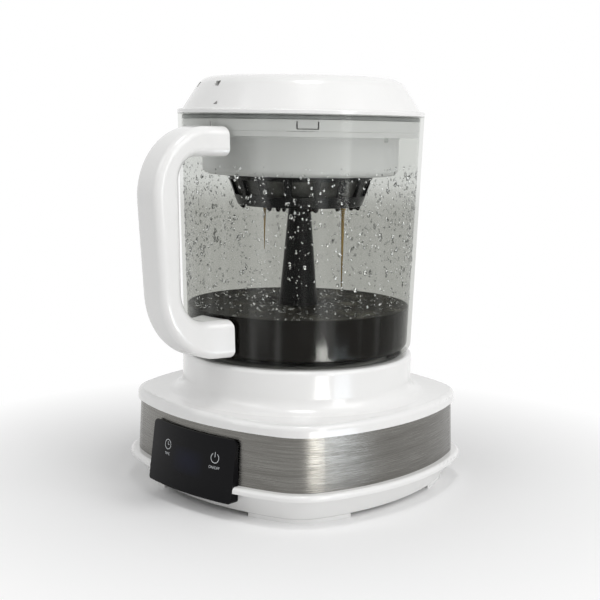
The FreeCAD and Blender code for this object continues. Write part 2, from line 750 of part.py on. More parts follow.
def handle_form():
    """The whole handle moulding: grip loop, rounded edges, flared roots and lug pockets."""
    body = document.addObject("PartDesign::Body", "handle_form")
    loop = outline(new_sketch(body, "YZ_Plane"), [
        (-68.0, d.grip_top), (-68.0, d.gap_top), (-d.gap_reach_top, d.gap_top, 13.0),
        (-d.gap_reach_bottom, d.gap_bottom, 20.0), (-68.0, d.gap_bottom), (-68.0, d.root_bottom),
        (-84.0, d.root_bottom, 20.0), (-d.grip_reach_bottom, d.grip_bottom, 44.0),
        (-d.grip_reach_top, d.grip_top, 40.0)])
    pad(body, loop, d.grip_width * 2, "loop", SideType="Symmetric")
    waist = d.grip_width / 2
    outside = d.grip_width + 5.0
    for side in (1, -1):
        flare = new_sketch(body, "XY_Plane", d.root_bottom - 5.0)
        outline(flare, [
            (waist * side, -140.0), (waist * side, -d.root_reach, 40.0), (d.root_half * side, -68.0),
            (outside * side, -60.0), (outside * side, -140.0)])
        cut_up(body, flare, d.grip_top - d.root_bottom + 10.0, "flare")
    inner_x = waist.value - 0.1

    def runs_along_a_side(edge):
        box = edge.BoundBox
        at_side = min(abs(box.XMin), abs(box.XMax)) > inner_x and box.XLength < 20
        return at_side and box.YMin < -68.5 and box.XLength + box.YLength > 0.01

    fillet(body, runs_along_a_side, d.grip_rounding, "grip_edges")
    inside = d.root_bottom - 10.0
    above = d.grip_top + 10.0
    groove(body, [(0, inside), (wall_radius(inside), inside), (wall_radius(above), above), (0, above)],
           "jug_face")
    for bottom, top in HANDLE_LUGS:
        lug = new_sketch(body, "XZ_Plane", 65.0)
        box_outline(lug, d.grip_width / 2 + 0.2, top - bottom + 0.2, x=0, y=(top + bottom) / 2)
        cut_up(body, lug, wall_radius(bottom) - d.wall / 2 - 55.8, "lug_pocket")
    shank = circle(new_sketch(body, "XY_Plane", 96.0), BRACKET_SCREW_RADIUS, y=-HANDLE_SCREW_REACH)
    cut_up(body, shank, 5.0, "screw_hole")
    head = circle(new_sketch(body, "XY_Plane", 96.0), 2.8, y=-HANDLE_SCREW_REACH)
    cut_up(body, head, 2.6, "screw_head")
    return body


def handle_pieces():
    """The handle, and the small clip at its lower root that hides the fixing screw."""
    form = handle_form()
    zone = document.addObject("Part::Box", "clip_zone")
    bind(zone, "Length", d.grip_width * 2)
    bind(zone, "Width", d.wall * 5)
    bind(zone, "Height", d.root_bottom / 10)
    bind(zone, ".Placement.Base.x", -d.grip_width)
    bind(zone, ".Placement.Base.y", -(wall_radius(d.root_bottom) + d.wall * 3))
    bind(zone, ".Placement.Base.z", d.root_bottom - 1.0)
    for kind, label in (("Part::Cut", "handle"), ("Part::Common", "handle_clip")):
        piece = document.addObject(kind, label)
        piece.Base = form
        piece.Tool = zone
        piece.Label = label
        nodes.append(piece)
    document.recompute()


def handle_screw():
    one = screw(2.6, 1.8, BRACKET_SCREW_RADIUS, 7.0)
    one.translate(FreeCAD.Vector(0, -HANDLE_SCREW_REACH, 96.7))
    return group("handle_screw", [one])


PIN_TOP = 101.6
CLIP_BOTTOM = 100.0


def impeller_pin():
    """The fixed pin on the jug floor that the impeller turns on, with the groove for its clip."""
    body = new_body("impeller_pin")
    revolve(body, [
        (0, d.jug_floor), (4.5, d.jug_floor), (4.5, d.jug_floor + 1.2), (d.pin_radius, d.jug_floor + 1.2),
        (d.pin_radius, CLIP_BOTTOM), (d.pin_radius - 0.5, CLIP_BOTTOM),
        (d.pin_radius - 0.5, CLIP_BOTTOM + 0.8), (d.pin_radius, CLIP_BOTTOM + 0.8),
        (d.pin_radius, PIN_TOP), (0, PIN_TOP)])
    return body


def impeller_clip():
    """The open spring ring in the pin's groove."""
    body = new_body("impeller_clip")
    ring = new_sketch(body, "XY_Plane", CLIP_BOTTOM)
    circle(ring, d.pin_radius + 1.6)
    circle(ring, d.pin_radius - 0.5)
    pad(body, ring, 0.8)
    mouth = new_sketch(body, "XY_Plane", CLIP_BOTTOM - 0.5)
    box_outline(mouth, d.pin_radius * 2, d.pin_radius, x=d.pin_radius * 1.5, y=0)
    cut_up(body, mouth, 2.0, "mouth")
    return body


# The impeller, which the drive turns through the jug's floor

IMPELLER_BOTTOM = 90.2
IMPELLER_TOP = 98.6


def impeller():
    """A disc with six swept blades and pockets for its magnets."""
    body = new_body("impeller")
    bore = d.pin_radius + d.running_gap
    revolve(body, [
        (bore, IMPELLER_BOTTOM), (15.0, IMPELLER_BOTTOM), (15.0, IMPELLER_BOTTOM + 3.4),
        (5.5, IMPELLER_BOTTOM + 3.4), (4.2, IMPELLER_TOP + 0.8), (bore, IMPELLER_TOP + 0.8)])
    blade = outline(new_sketch(body, "XY_Plane", IMPELLER_BOTTOM + 3.0), [
        (3.4, -0.6), (9.0, 0.4), (14.2, 4.2), (13.6, 5.2), (8.4, 1.7), (3.4, 0.7)])
    around(body, pad(body, blade, IMPELLER_TOP - IMPELLER_BOTTOM - 3.0, "blade"), 6, "blades")
    hole = circle(new_sketch(body, "XY_Plane", IMPELLER_BOTTOM - 0.5), 2.8, x=10.0)
    around(body, cut_up(body, hole, 2.9, "pocket"), 4, "pockets")
    return body


def impeller_magnets():
    one = Part.makeCylinder(2.8, 2.2, FreeCAD.Vector(10.0, 0, IMPELLER_BOTTOM + 0.2))
    return group("impeller_magnets", ring_of(one, 4))


# The holder that hangs under the lid, and the basket that turns out of it

LUG_STEP = 120.0
NOTCH_TURN = 40.0


def basket_holder():
    """The white cup ring: top flange, deep round wall, and a floor with three bayonet notches."""
    body = new_body("basket_holder")
    floor = d.holder_bottom + d.shell
    inside = d.holder_radius - d.shell
    revolve(body, [
        (d.holder_hole, d.holder_bottom), (d.holder_radius, d.holder_bottom, 4.5),
        (d.holder_radius, d.holder_flange_bottom, 1.5), (d.holder_flange_radius, d.holder_flange_bottom),
        (d.holder_flange_radius, d.holder_flange_top), (inside, d.holder_flange_top),
        (inside, floor, 2.0), (d.holder_hole, floor)])
    notch = new_sketch(body, "XY_Plane", d.holder_bottom - 0.5)
    turned_box(notch, d.holder_hole - 3.0, d.holder_hole + 2.6, 20.0, NOTCH_TURN)
    around(body, cut_up(body, notch, d.shell + 1.0, "notch"), 3, "notches")
    return body


def turned_box(sketch, near, far, width, angle):
    """A rectangle that lies along a spoke at an angle, between two radii."""
    cosine = math.cos(math.radians(angle))
    sine = math.sin(math.radians(angle))
    corners = []
    for reach, side in ((near, -1), (far, -1), (far, 1), (near, 1)):
        across = side * width / 2
        corners.append((reach * cosine - across * sine, reach * sine + across * cosine))
    return outline(sketch, corners)


def basket_frame():
    """The black basket: neck with bayonet lugs, tapered wall with mesh windows, and a slotted floor."""
    body = new_body("basket_frame")
    neck_inside = d.basket_neck_radius - d.basket_wall
    floor = d.basket_bottom + d.basket_wall
    revolve(body, [
        (5.3, d.basket_bottom), (d.basket_bottom_radius, d.basket_bottom, 1.5),
        (d.basket_neck_radius, d.basket_shoulder), (d.basket_neck_radius, d.basket_top),
        (neck_inside, d.basket_top), (neck_inside, d.basket_shoulder),
        (d.basket_bottom_radius - d.basket_wall, floor), (5.3, floor)], "cup")
    lug = new_sketch(body, "XY_Plane", d.holder_bottom + d.shell + 0.3)
    turned_box(lug, d.basket_neck_radius - 1.0, d.basket_neck_radius + 2.8, 14.0, 0.0)
    around(body, pad(body, lug, 2.4, "lug"), 3, "lugs")
    window = new_sketch(body, "XZ_Plane", 30.0)
    middle = (d.basket_shoulder + d.basket_bottom) / 2
    box_outline(window, d.basket_wall * 6.4, d.basket_shoulder - d.basket_bottom - 9.6, x=0, y=middle + 2.0)
    around(body, cut_up(body, window, 25.0, "window"), 16, "windows")
    slot = outline(new_sketch(body, "XY_Plane", d.basket_bottom - 1.0), [
        (12.0, -3.6, 1.0), (34.0, -8.4, 2.0), (34.0, 8.4, 2.0), (12.0, 3.6, 1.0)])
    around(body, cut_up(body, slot, d.basket_wall + 2.0, "floor_slot"), 8, "floor_slots")
    return body


def basket_mesh():
    """The fine filter sheet inside the basket, behind its windows."""
    body = new_body("basket_mesh")
    floor = d.basket_bottom + d.basket_wall
    edge = d.basket_bottom_radius - d.basket_wall
    top = d.basket_shoulder - 1.0
    upper = d.basket_neck_radius - d.basket_wall - 0.8
    revolve(body, [
        (5.6, floor), (edge - 0.3, floor), (upper, top), (upper - 0.5, top),
        (edge - 0.9, floor + 0.5), (5.6, floor + 0.5)])
    return body


def riser_tube():
    """The tapered centre column that carries water from the pump up through the basket."""
    body = new_body("riser_tube")
    shoulder = d.basket_bottom
    revolve(body, [
        (d.riser_bottom_radius, d.riser_bottom), (d.riser_top_radius, shoulder),
        (5.2, shoulder), (5.2, 216.0), (d.riser_bore, 216.0), (d.riser_bore, shoulder - 10.0),
        (d.riser_bottom_radius - 2.2, d.riser_bottom)])
    return body


def pump_bell():
    """The cover over the impeller, with inlet slots at its foot and a spigot for the riser."""
    body = new_body("pump_bell")
    foot = d.jug_floor + 0.6
    inner = d.bell_radius - 2.0
    spigot = d.riser_bottom_radius - 2.8
    revolve(body, [
        (inner, foot), (d.bell_radius, foot), (d.bell_radius, foot + 8.0, 3.0),
        (d.riser_bottom_radius, d.riser_bottom), (spigot, d.riser_bottom),
        (spigot, d.riser_bottom + 3.0), (spigot - 1.5, d.riser_bottom + 3.0),
        (spigot - 1.5, d.riser_bottom - 1.0), (inner, foot + 7.5)])
    slot = new_sketch(body, "XZ_Plane", 10.0)
    box_outline(slot, d.wall * 3, d.wall * 2, x=0, y=foot + 1.0)
    around(body, cut_up(body, slot, 15.0, "inlet"), 6, "inlets")
    return body


# The lid

LID_SCREW_RING = 50.0
LID_PLATE_BOTTOM = 231.5
LID_PLATE_TOP = 233.5
VENT_ANGLES = (-6.5, -31.0, -55.5)
TAB_ANGLE = 46.0


def lid_cover():
    """The white domed cover with its flange, vent slots and inner screw posts."""
    body = new_body("lid_cover")
    crown = d.cover_top + 0.6
    revolve(body, [
        (d.flange_radius, d.rim_height), (d.flange_radius, d.flange_top, 1.0), (75.2, d.flange_top),
        (62.6, d.cover_top - 0.4, 12.0), (0, crown), (0, crown - d.shell),
        (61.2, d.cover_top - 0.3 - d.shell, 9.5), (72.4, d.flange_top - 0.4), (72.4, d.rim_height)])
    post = circle(new_sketch(body, "XY_Plane", LID_PLATE_TOP), 4.0, x=LID_SCREW_RING)
    around(body, pad(body, post, d.cover_top - LID_PLATE_TOP - 1.5, "post"), 3, "posts")
    hole = circle(new_sketch(body, "XY_Plane", LID_PLATE_TOP - 1.0), BRACKET_SCREW_RADIUS, x=LID_SCREW_RING)
    around(body, cut_up(body, hole, 10.0, "post_hole"), 3, "post_holes")
    for angle in VENT_ANGLES:
        vent = new_sketch(body, "XY_Plane", d.cover_top - 7.2)
        turned_box(vent, 56.0, 74.0, 4.4, angle - 90.0)
        cut_up(body, vent, 3.0, "vent")
    return body


def lid_inner():
    """The inner moulding: closing plate, skirt with the seal groove, and the latch tab's window."""
    body = new_body("lid_inner")
    skirt = d.holder_flange_radius + 0.2
    revolve(body, [
        (0, LID_PLATE_BOTTOM), (skirt - 2.2, LID_PLATE_BOTTOM), (skirt - 2.2, d.holder_flange_top + 0.2),
        (skirt, d.holder_flange_top + 0.2), (skirt, 232.4), (skirt - 1.6, 232.4), (skirt - 1.6, 235.2),
        (skirt, 235.2), (skirt, d.rim_height), (71.8, d.rim_height), (71.8, 238.0), (69.8, 238.0),
        (69.8, LID_PLATE_TOP), (0, LID_PLATE_TOP)])
    drilled = new_sketch(body, "XY_Plane", LID_PLATE_BOTTOM - 1.0)
    hole = circle(drilled, BRACKET_SCREW_RADIUS, x=LID_SCREW_RING)
    around(body, cut_up(body, hole, 4.0, "hole"), 3, "holes")
    window = new_sketch(body, "XY_Plane", d.holder_flange_top + 1.2)
    turned_box(window, skirt - 3.0, skirt + 1.0, 13.0, TAB_ANGLE - 90.0)
    cut_up(body, window, 4.6, "tab_window")
    tab = new_sketch(body, "XY_Plane", d.holder_flange_top + 1.7)
    turned_box(tab, skirt - 1.9, skirt - 0.5, 11.6, TAB_ANGLE - 90.0)
    pad(body, tab, 4.3, "tab")
    return body


def lid_seal():
    """The soft ring in the skirt's groove."""
    body = new_body("lid_seal")
    groove_radius = d.holder_flange_radius - 1.4
    revolve(body, [
        (groove_radius, 232.5), (75.2, 232.5, 0.9), (75.2, 235.1, 0.9), (groove_radius, 235.1)])
    return body


def spray_head():
    """The spray disc over the basket, with the socket that the riser feeds."""
    body = new_body("spray_head")
    revolve(body, [
        (5.9, 212.0), (7.9, 212.0), (7.9, 221.0), (30.0, 221.0, 1.5), (30.0, 225.0, 1.5), (9.0, 225.0),
        (9.0, LID_PLATE_BOTTOM), (0, LID_PLATE_BOTTOM), (0, 222.5), (5.9, 222.5)])
    for reach, count in ((17.0, 8), (25.0, 12)):
        hole = circle(new_sketch(body, "XY_Plane", 220.0), 1.2, x=reach)
        around(body, cut_up(body, hole, 6.0, "jet"), count, "jets")
    return body


def lid_screws():
    one = screw(2.6, 1.8, BRACKET_SCREW_RADIUS, 9.0)
    one.translate(FreeCAD.Vector(LID_SCREW_RING, 0, LID_PLATE_BOTTOM - 1.8))
    return group("lid_screws", ring_of(one, 3))


# Building, checking and writing

PIECES = (
    base_cover, steel_band, base_pan, foot_pads, panel_cover, touch_board, display_module, main_board,
    motor, motor_bracket, power_inlet, case_screws, bracket_screws,
    drive_shaft, drive_disc, drive_magnets,
    jug_body, handle_pieces, handle_screw, impeller_pin, impeller_clip,
    impeller, impeller_magnets,
    basket_holder, basket_frame, basket_mesh, riser_tube, pump_bell,
    lid_cover, lid_inner, lid_seal, spray_head, lid_screws)


def check_and_write():
    """Stops on a failed object or a bad solid, and then writes one file per piece."""
    document.recompute()
    for item in document.Objects:
        if "Invalid" in item.State or "Error" in item.State:
            raise RuntimeError("%s is %s" % (item.Label, item.State))
    for node in nodes:
        if node.Shape.isNull() or not node.Shape.isValid() or not node.Shape.Solids:
            raise RuntimeError(node.Label + " has no valid solid")
    os.makedirs("parts", exist_ok=True)
    for node in nodes:
        node.Shape.exportStep("parts/%s.step" % node.Label)
        print("%-18s %9.1f mm3  %d solids" % (node.Label, node.Shape.Volume, len(node.Shape.Solids)))


for piece in PIECES:
    piece()
check_and_write()
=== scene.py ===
import json
import math
import random

import bmesh
import bpy
from mathutils import Matrix, Vector
from mathutils.bvhtree import BVHTree


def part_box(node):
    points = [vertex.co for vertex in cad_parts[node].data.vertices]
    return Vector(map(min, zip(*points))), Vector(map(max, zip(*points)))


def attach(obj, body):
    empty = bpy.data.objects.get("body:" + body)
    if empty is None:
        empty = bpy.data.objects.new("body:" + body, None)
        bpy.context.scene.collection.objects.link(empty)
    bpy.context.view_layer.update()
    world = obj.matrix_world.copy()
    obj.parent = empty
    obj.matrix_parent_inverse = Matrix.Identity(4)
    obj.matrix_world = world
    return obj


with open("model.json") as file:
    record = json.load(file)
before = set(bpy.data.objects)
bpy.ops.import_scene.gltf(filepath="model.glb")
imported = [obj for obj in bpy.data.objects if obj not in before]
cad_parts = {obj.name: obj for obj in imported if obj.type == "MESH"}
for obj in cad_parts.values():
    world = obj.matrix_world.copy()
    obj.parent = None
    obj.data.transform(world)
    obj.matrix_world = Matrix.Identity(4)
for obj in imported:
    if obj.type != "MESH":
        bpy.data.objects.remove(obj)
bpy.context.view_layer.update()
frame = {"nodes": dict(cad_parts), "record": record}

nodes = frame["nodes"]
MM = 0.001
UP = Vector((0, 0, 1))
draws = random.Random(11)


def add_to_scene(name, data):
    piece = bpy.data.objects.new(name, data)
    bpy.context.scene.collection.objects.link(piece)
    return piece


def towards(azimuth):
    """The level direction at an angle round the upright axis, from the front."""
    return Vector((math.sin(azimuth), -math.cos(azimuth), 0.0))


def place_at(radius, azimuth, height):
    return Vector((radius * math.sin(azimuth), -radius * math.cos(azimuth), height))


# The camera, at the photo's viewing angle

VIEW_AZIMUTH = math.radians(43.0)
VIEW_DISTANCE = 0.7237
VIEW_HEIGHT = 0.2262
VIEW_PITCH = math.radians(8.571)
VIEW_ROLL = math.radians(0.951)
VIEW_YAW = -0.0017
VIEW_LENS = 67.47
SENSOR_WIDTH = 36.0
NEAREST_SEEN = 0.01


def place_camera():
    heading = VIEW_AZIMUTH + VIEW_YAW
    ahead = Vector((-math.sin(heading) * math.cos(VIEW_PITCH),
                    math.cos(heading) * math.cos(VIEW_PITCH),
                    -math.sin(VIEW_PITCH)))
    right = Vector((math.cos(heading), math.sin(heading), 0.0))
    above = right.cross(ahead)
    turned_right = right * math.cos(VIEW_ROLL) + above * math.sin(VIEW_ROLL)
    turned_above = above * math.cos(VIEW_ROLL) - right * math.sin(VIEW_ROLL)
    lens = bpy.data.cameras.new("photo_camera")
    lens.lens = VIEW_LENS
    lens.sensor_width = SENSOR_WIDTH
    lens.clip_start = NEAREST_SEEN
    camera = add_to_scene("photo_camera", lens)
    turn = Matrix((turned_right, turned_above, -ahead)).transposed().to_4x4()
    spot = place_at(VIEW_DISTANCE, VIEW_AZIMUTH, VIEW_HEIGHT)
    camera.matrix_world = Matrix.Translation(spot) @ turn
    bpy.context.scene.camera = camera


# Finishes: shader sums written as plain expressions

class Value:
    """A number, colour or shader that changes over a surface, ready to take part in a sum."""

    def __init__(self, owner, socket):
        self.owner = owner
        self.socket = socket

    def _sum(self, operation, first, second, **settings):
        return self.owner.node("ShaderNodeMath", {"operation": operation, **settings},
                               {0: first, 1: second})

    def __add__(self, other):
        return self._sum("ADD", self, other)

    def __radd__(self, other):
        return self._sum("ADD", other, self)

    def __sub__(self, other):
        return self._sum("SUBTRACT", self, other)

    def __rsub__(self, other):
        return self._sum("SUBTRACT", other, self)

    def __mul__(self, other):
        return self._sum("MULTIPLY", self, other)

    def __rmul__(self, other):
        return self._sum("MULTIPLY", other, self)

    def __truediv__(self, other):
        return self._sum("DIVIDE", self, other)

    def __rtruediv__(self, other):
        return self._sum("DIVIDE", other, self)

    def __pow__(self, other):
        return self._sum("POWER", self, other)

    def __rpow__(self, other):
        return self._sum("POWER", other, self)

    def above(self, level):
        return self._sum("GREATER_THAN", self, level)

    def wave(self):
        return self._sum("SINE", self, 0.0)

    def held(self):
        """The value, kept from 0 to 1."""
        return self._sum("ADD", self, 0.0, use_clamp=True)

    def between(self, low, high):
        """A value from 0 to 1, spread over another range."""
        return self * (high - low) + low


def set_stops(ramp, stops):
    while len(ramp.elements) < len(stops):
        ramp.elements.new(0.5)
    for element, (place, colour) in zip(ramp.elements, stops):
        element.position = place
        element.color = (*colour, 1.0)


class Shading:
    """A tree of shader nodes, all of which come from one method."""

    def __init__(self, tree):
        self.tree = tree

    def node(self, kind, settings=None, inputs=None, output=0):
        """A node of a kind: its settings first, then the values or links of its sockets."""
        made = self.tree.nodes.new(kind)
        for name, value in (settings or {}).items():
            if name == "stops":
                set_stops(made.color_ramp, value)
            else:
                setattr(made, name, value)
        for name, value in (inputs or {}).items():
            self.feed(made.inputs[name], value)
        return None if output is None else Value(self, made.outputs[output])

    def feed(self, socket, value):
        if isinstance(value, Value):
            self.tree.links.new(value.socket, socket)
        else:
            socket.default_value = value

    def ray(self, kind):
        """1 for the rays of a kind, such as Camera or Shadow, and 0 for the others."""
        return self.node("ShaderNodeLightPath", output=f"Is {kind} Ray")

    def mix(self, factor, first, second):
        return self.node("ShaderNodeMixShader", {}, {0: factor, 1: first, 2: second})


# The colour sockets of a Mix node, which have no names of their own

FIRST_COLOUR, SECOND_COLOUR, BLENDED_COLOUR = 6, 7, 2


class Finish(Shading):
    """A material in the making: its nodes and the shader they feed."""

    def __init__(self, name, colour, roughness, **settings):
        self.material = bpy.data.materials.new(name)
        self.material.use_nodes = True
        self.material.diffuse_color = (*colour, 1.0)
        super().__init__(self.material.node_tree)
        self.shader = self.tree.nodes["Principled BSDF"]
        self.gloss = Value(self, self.shader.outputs["BSDF"])
        self.shader.inputs["Base Color"].default_value = (*colour, 1.0)
        self.shader.inputs["Roughness"].default_value = roughness
        for socket, value in settings.items():
            self.shader.inputs[socket.replace("_", " ")].default_value = value

    def places(self, stretch=(1.0, 1.0, 1.0)):
        spot = self.node("ShaderNodeTexCoord", output="Object")
        return self.node("ShaderNodeMapping", {}, {"Vector": spot, "Scale": stretch})

    def noise(self, size, detail=2.0, stretch=(1.0, 1.0, 1.0)):
        """Soft mottling whose patches are about size metres across."""
        return self.node("ShaderNodeTexNoise", {},
                         {"Vector": self.places(stretch), "Scale": 1.0 / size,
                          "Detail": detail})

    def cells(self, size):
        """How far a point is from the middle of its cell, for cells of a size in metres."""
        return self.node("ShaderNodeTexVoronoi", {},
                         {"Vector": self.places(), "Scale": 1.0 / size},
                         output="Distance")

    def axes(self):
        """The three coordinates of a point, each as a value."""
        spot = self.node("ShaderNodeTexCoord", output="Object")
        return [self.node("ShaderNodeSeparateXYZ", {}, {0: spot}, output=axis)
                for axis in ("X", "Y", "Z")]

    def around(self):
        """How far round the upright axis a point lies, in radians."""
        x, y, _ = self.axes()
        return self.node("ShaderNodeMath", {"operation": "ARCTAN2"}, {0: x, 1: y})

    def facing(self):
        """0 where a face is seen square on and 1 at a glancing angle, for gloss alone."""
        return self.node("ShaderNodeLayerWeight", {}, {"Blend": 0.5}, output="Facing")

    def ramp(self, factor, stops):
        return self.node("ShaderNodeValToRGB", {"stops": stops}, {"Fac": factor})

    def blend_colours(self, factor, first, second):
        return self.node("ShaderNodeMix", {"data_type": "RGBA"},
                         {"Factor": factor, FIRST_COLOUR: (*first, 1.0),
                          SECOND_COLOUR: (*second, 1.0)}, output=BLENDED_COLOUR)

    def see_through(self, colour):
        return self.node("ShaderNodeBsdfTransparent", {}, {"Color": (*colour, 1.0)})

    def colour(self, value):
        self.feed(self.shader.inputs["Base Color"], value)

    def roughness(self, value):
        self.feed(self.shader.inputs["Roughness"], value)

    def bump(self, height, depth, strength=1.0):
        raised = self.node("ShaderNodeBump", {},
                           {"Height": height, "Distance": depth, "Strength": strength},
                           output="Normal")
        self.feed(self.shader.inputs["Normal"], raised)

    def surface(self, value):
        """Shows a shader of its own in place of the plain one."""
        self.feed(self.tree.nodes["Material Output"].inputs["Surface"], value)


def darkened(colour, share):
    return tuple(part * (1.0 - share) for part in colour)


SHADE_PATCH = 0.035
GLOSS_PATCH = 0.006


def moulded(name, colour, roughness, grain=0.0012, depth=0.00001, shade=0.03, **settings):
    """Injection moulded plastic: a faint skin texture and slightly uneven gloss."""
    finish = Finish(name, colour, roughness, **settings)
    cloud = finish.noise(SHADE_PATCH, 3.0)
    finish.colour(finish.blend_colours(cloud, darkened(colour, shade), colour))
    finish.roughness(finish.noise(GLOSS_PATCH, 4.0).between(roughness * 0.75,
                                                            roughness * 1.25))
    finish.bump(finish.noise(grain), depth)
    return finish.material


# These steel shades are painted darker than bare steel: painted shade standing in for the
# darker surroundings that the real band mirrors. Their streaks are the brushing.
STEEL = (0.19, 0.185, 0.17)
STEEL_DARK, STEEL_PALE = (0.135, 0.13, 0.12), (0.24, 0.235, 0.22)
STEEL_PLAIN = (0.185, 0.18, 0.167)
HAIRLINE, BRUSH_MARK = 0.00045, 0.005
HAIRLINE_DEPTH = 0.00016


def brushed_steel():
    """Stainless sheet brushed along its length, which spreads a light upwards."""
    finish = Finish("brushed_steel", STEEL, 0.24, Metallic=1.0)
    fine = finish.noise(HAIRLINE, 3.0, (0.02, 0.02, 1.0))
    broad = finish.noise(BRUSH_MARK, 2.0, (0.08, 0.08, 1.0))
    lines = fine * 0.65 + broad * 0.35
    finish.colour(finish.ramp(lines, [(0.3, STEEL_DARK), (0.5, STEEL_PLAIN),
                                      (0.7, STEEL_PALE)]))
    finish.roughness(lines.between(0.16, 0.36))
    finish.bump(fine, HAIRLINE_DEPTH, 0.8)
    return finish.material


def plated(name, colour, roughness, grain):
    """Turned or plated metal with faint tool marks."""
    finish = Finish(name, colour, roughness, Metallic=1.0)
    marks = finish.noise(grain, 4.0)
    finish.colour(finish.blend_colours(marks, darkened(colour, 0.2), colour))
    finish.roughness(marks * 0.2 + roughness * 0.7)
    finish.bump(marks, 0.00002)
    return finish.material


THREAD = 0.0007
BASKET_RADIUS = 0.043


def filter_mesh():
    """Fine woven filter cloth, dark with damp coffee and grey where it has dried."""
    finish = Finish("filter_mesh", (0.05, 0.05, 0.045), 0.45, Metallic=0.3)
    wraps = (finish.around() * (BASKET_RADIUS / THREAD * math.tau * 0.5)).wave()
    _, _, height = finish.axes()
    rows = (height * (math.tau / THREAD)).wave()
    weave = wraps * rows * 0.5 + 0.5
    damp = finish.noise(0.012, 3.0)
    shades = finish.ramp(damp * 0.75 + weave * 0.25,
                         [(0.3, (0.018, 0.016, 0.014)), (0.5, (0.05, 0.05, 0.046)),
                          (0.68, (0.13, 0.13, 0.115))])
    finish.colour(shades)
    finish.bump(weave, 0.00012)
    return finish.material


PAD_SPACING = 0.004
PAD_HEIGHT = 0.00003


def circuit_board():
    finish = Finish("circuit_board", (0.02, 0.12, 0.05), 0.35)
    pads = finish.cells(PAD_SPACING).above(0.38)
    finish.colour(finish.blend_colours(pads, (0.02, 0.14, 0.06), (0.012, 0.09, 0.04)))
    finish.bump(pads, PAD_HEIGHT)
    return finish.material


MISTED = (0.77, 0.773, 0.757)
DRY = (0.88, 0.885, 0.875)
MIST_TOP = 0.177
MIST_FADE = 0.018


def clear_plastic():
    """A see-through wall, greyed by a film of mist below the lid and clear at the rim."""
    finish = Finish("clear_plastic", (0.95, 0.96, 0.95), 0.05, Metallic=1.0)
    _, _, height = finish.axes()
    dry = ((height - MIST_TOP) * (1.0 / MIST_FADE)).held()
    sight = finish.mix(dry, finish.see_through(MISTED), finish.see_through(DRY))
    glance = finish.facing() ** 5.0
    streaks = finish.noise(0.011, 1.0, (1.0, 1.0, 0.03))
    film = ((streaks - 0.55) * 0.16).held()
    wall = finish.mix(glance * 0.35 + film + 0.004, sight, finish.gloss)
    finish.surface(finish.mix(finish.ray("Shadow"), wall, finish.see_through(DRY)))
    finish.roughness(finish.noise(0.02, 3.0).between(0.02, 0.14))
    return finish.material


def water():
    """Drops of water: clear in the middle, with an edge of real gloss here and painted shade
    there.
    """
    finish = Finish("water_drops", (0.97, 0.98, 0.98), 0.04, Metallic=1.0)
    bent = ((finish.noise(0.0013, 0.0) - 0.45) * 8.0).held()
    # The dark see-through edge is painted shade, standing in for the darkening that a real
    # drop's bending of light gives; the bright edge is real gloss.
    edge = finish.mix(bent, finish.see_through((0.05, 0.05, 0.05)), finish.gloss)
    body = finish.mix(bent * 0.4, finish.see_through((1.0, 1.0, 1.0)), finish.gloss)
    rim = ((finish.facing() ** 1.4) * 2.2).held()
    finish.surface(finish.mix(rim, body, edge))
    return finish.material


def coffee():
    """Cold coffee: nearly black in depth, with a gloss."""
    finish = Finish("coffee", (0.012, 0.009, 0.007), 0.08, Specular_IOR_Level=0.2)
    cloud = finish.noise(0.03, 3.0)
    finish.colour(finish.blend_colours(cloud, (0.007, 0.005, 0.004),
                                       (0.016, 0.013, 0.011)))
    finish.roughness(cloud.between(0.05, 0.13))
    finish.bump(finish.noise(0.012), 0.0002)
    return finish.material


def foam():
    """The speckled froth that a running pump leaves, made paler towards the back right by
    painted light.
    """
    finish = Finish("coffee_foam", (0.05, 0.045, 0.04), 0.5, Specular_IOR_Level=0.08)
    patches = finish.noise(0.016, 4.0)
    small = finish.cells(0.0011)
    large = finish.cells(0.0026)
    x, y, _ = finish.axes()
    # Painted light: the froth grows paler towards the back right, as if lit more on that
    # side.
    painted_light_back_right = (x + y) * 1.5
    specks = (patches * 1.6 - small * 0.9 - large * 0.4 + 0.1 + painted_light_back_right).held()
    finish.colour(finish.ramp(specks, [(0.0, (0.010, 0.008, 0.006)),
                                       (0.35, (0.045, 0.04, 0.032)),
                                       (0.6, (0.16, 0.15, 0.12)),
                                       (0.95, (0.55, 0.53, 0.46))]))
    finish.roughness(specks.between(0.45, 0.65))
    finish.bump(specks, 0.0005)
    return finish.material


def amber_coffee():
    """Coffee in a thin thread, which lets some light through."""
    finish = Finish("amber_drip", (0.56, 0.36, 0.09), 0.08, Transmission_Weight=0.4,
                    IOR=1.33)
    finish.colour(finish.blend_colours(finish.noise(0.004), (0.42, 0.25, 0.05),
                                       (0.72, 0.52, 0.18)))
    return finish.material


def printed(name, colour):
    """Ink printed on a surface, a touch uneven."""
    finish = Finish(name, colour, 0.45)
    finish.colour(finish.blend_colours(finish.noise(0.0006), darkened(colour, 0.15),
                                       colour))
    return finish.material


PANEL_BLACK = (0.005, 0.005, 0.006)
WINDOW_BLUE = (0.008, 0.009, 0.022)
WINDOW_HALF_WIDTH = 0.0145
WINDOW_HALF_HEIGHT = 0.0085


def panel_black():
    """The touch panel: deep black with the dim window of the display behind it."""
    finish = Finish("black_gloss", PANEL_BLACK, 0.09, Specular_IOR_Level=0.1)
    x, _, z = finish.axes()
    low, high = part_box("panel_cover")
    middle = (low.z + high.z) / 2
    across = 1.0 - ((x / WINDOW_HALF_WIDTH) ** 2.0)
    upright = 1.0 - (((z - middle) / WINDOW_HALF_HEIGHT) ** 2.0)
    window = (across * upright).held() * across.above(0.0)
    finish.colour(finish.blend_colours(window * 0.8, PANEL_BLACK, WINDOW_BLUE))
    finish.roughness(finish.noise(0.01, 3.0).between(0.06, 0.11))
    return finish.material


